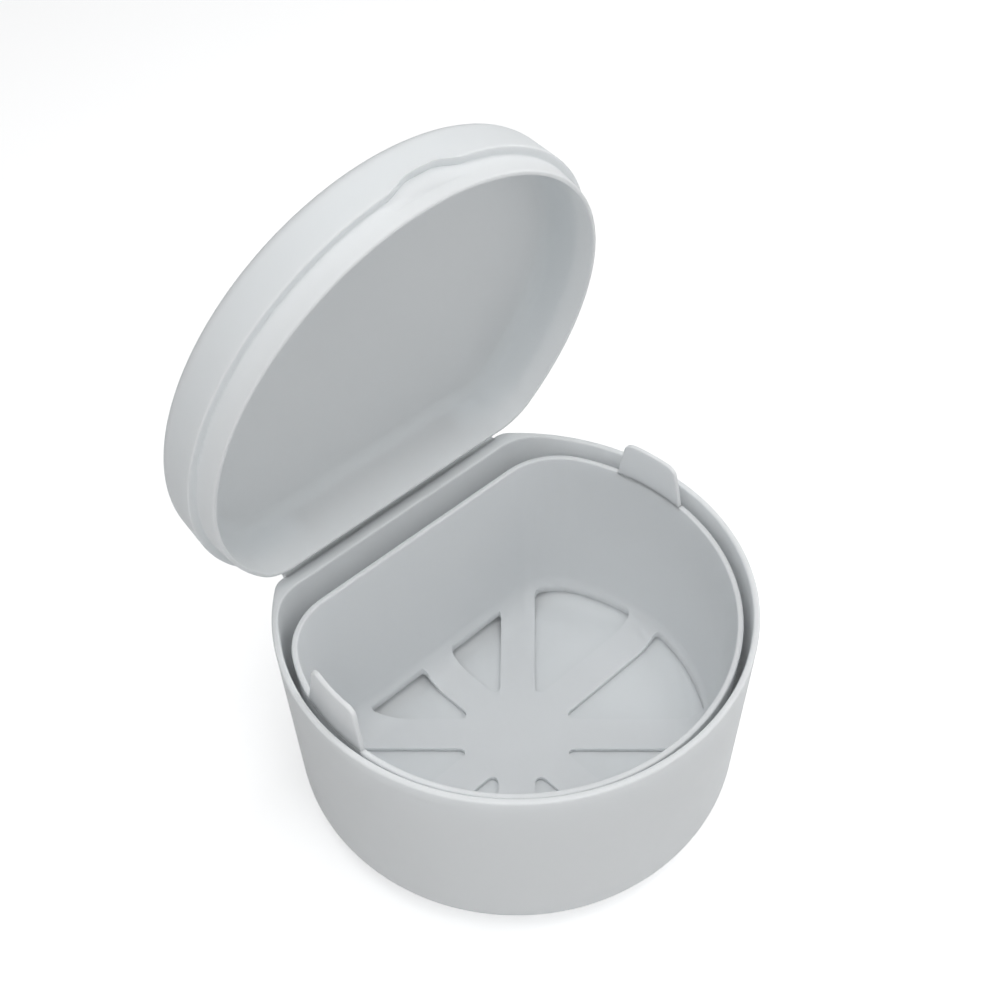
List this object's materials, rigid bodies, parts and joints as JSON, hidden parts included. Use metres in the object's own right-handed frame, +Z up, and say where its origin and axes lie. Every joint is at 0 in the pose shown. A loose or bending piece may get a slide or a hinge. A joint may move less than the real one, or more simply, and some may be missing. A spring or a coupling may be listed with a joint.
{
  "type": "retainer case",
  "caption": "D-shaped plastic retainer bath case with a flip-up lid on a living hinge and a lift-out strainer basket.",
  "frame": {"origin": "on the axis of the tub's round wall, in the plane of its underside", "axes": "+Z up, +Y towards the hinge on the flat side, +X to the right seen from the front"},
  "size_m": [0.088, 0.0867, 0.1245],
  "materials": {
    "case_plastic": "satin moulded polypropylene, pale cool grey-white, fine even texture",
    "basket_plastic": "satin moulded polypropylene, the same pale grey-white"
  },
  "bodies": {
    "tub_body": {"tub": "case_plastic", "hinge_film": "case_plastic"},
    "lid_body": {"lid": "case_plastic"},
    "basket_body": {"strainer_basket": "basket_plastic"}
  },
  "joints": [
    {"name": "lid_hinge", "type": "hinge", "parent": "tub_body", "child": "lid_body", "pos_m": [0, 0.0354, 0.0461], "axis": [-1, 0, 0], "range_deg": [-77, 103], "deforming": ["hinge_film"]},
    {"name": "basket_lift", "type": "slide", "parent": "tub_body", "child": "basket_body", "axis": [0, 0, 1], "range_m": [0, 0.0535]}
  ]
}
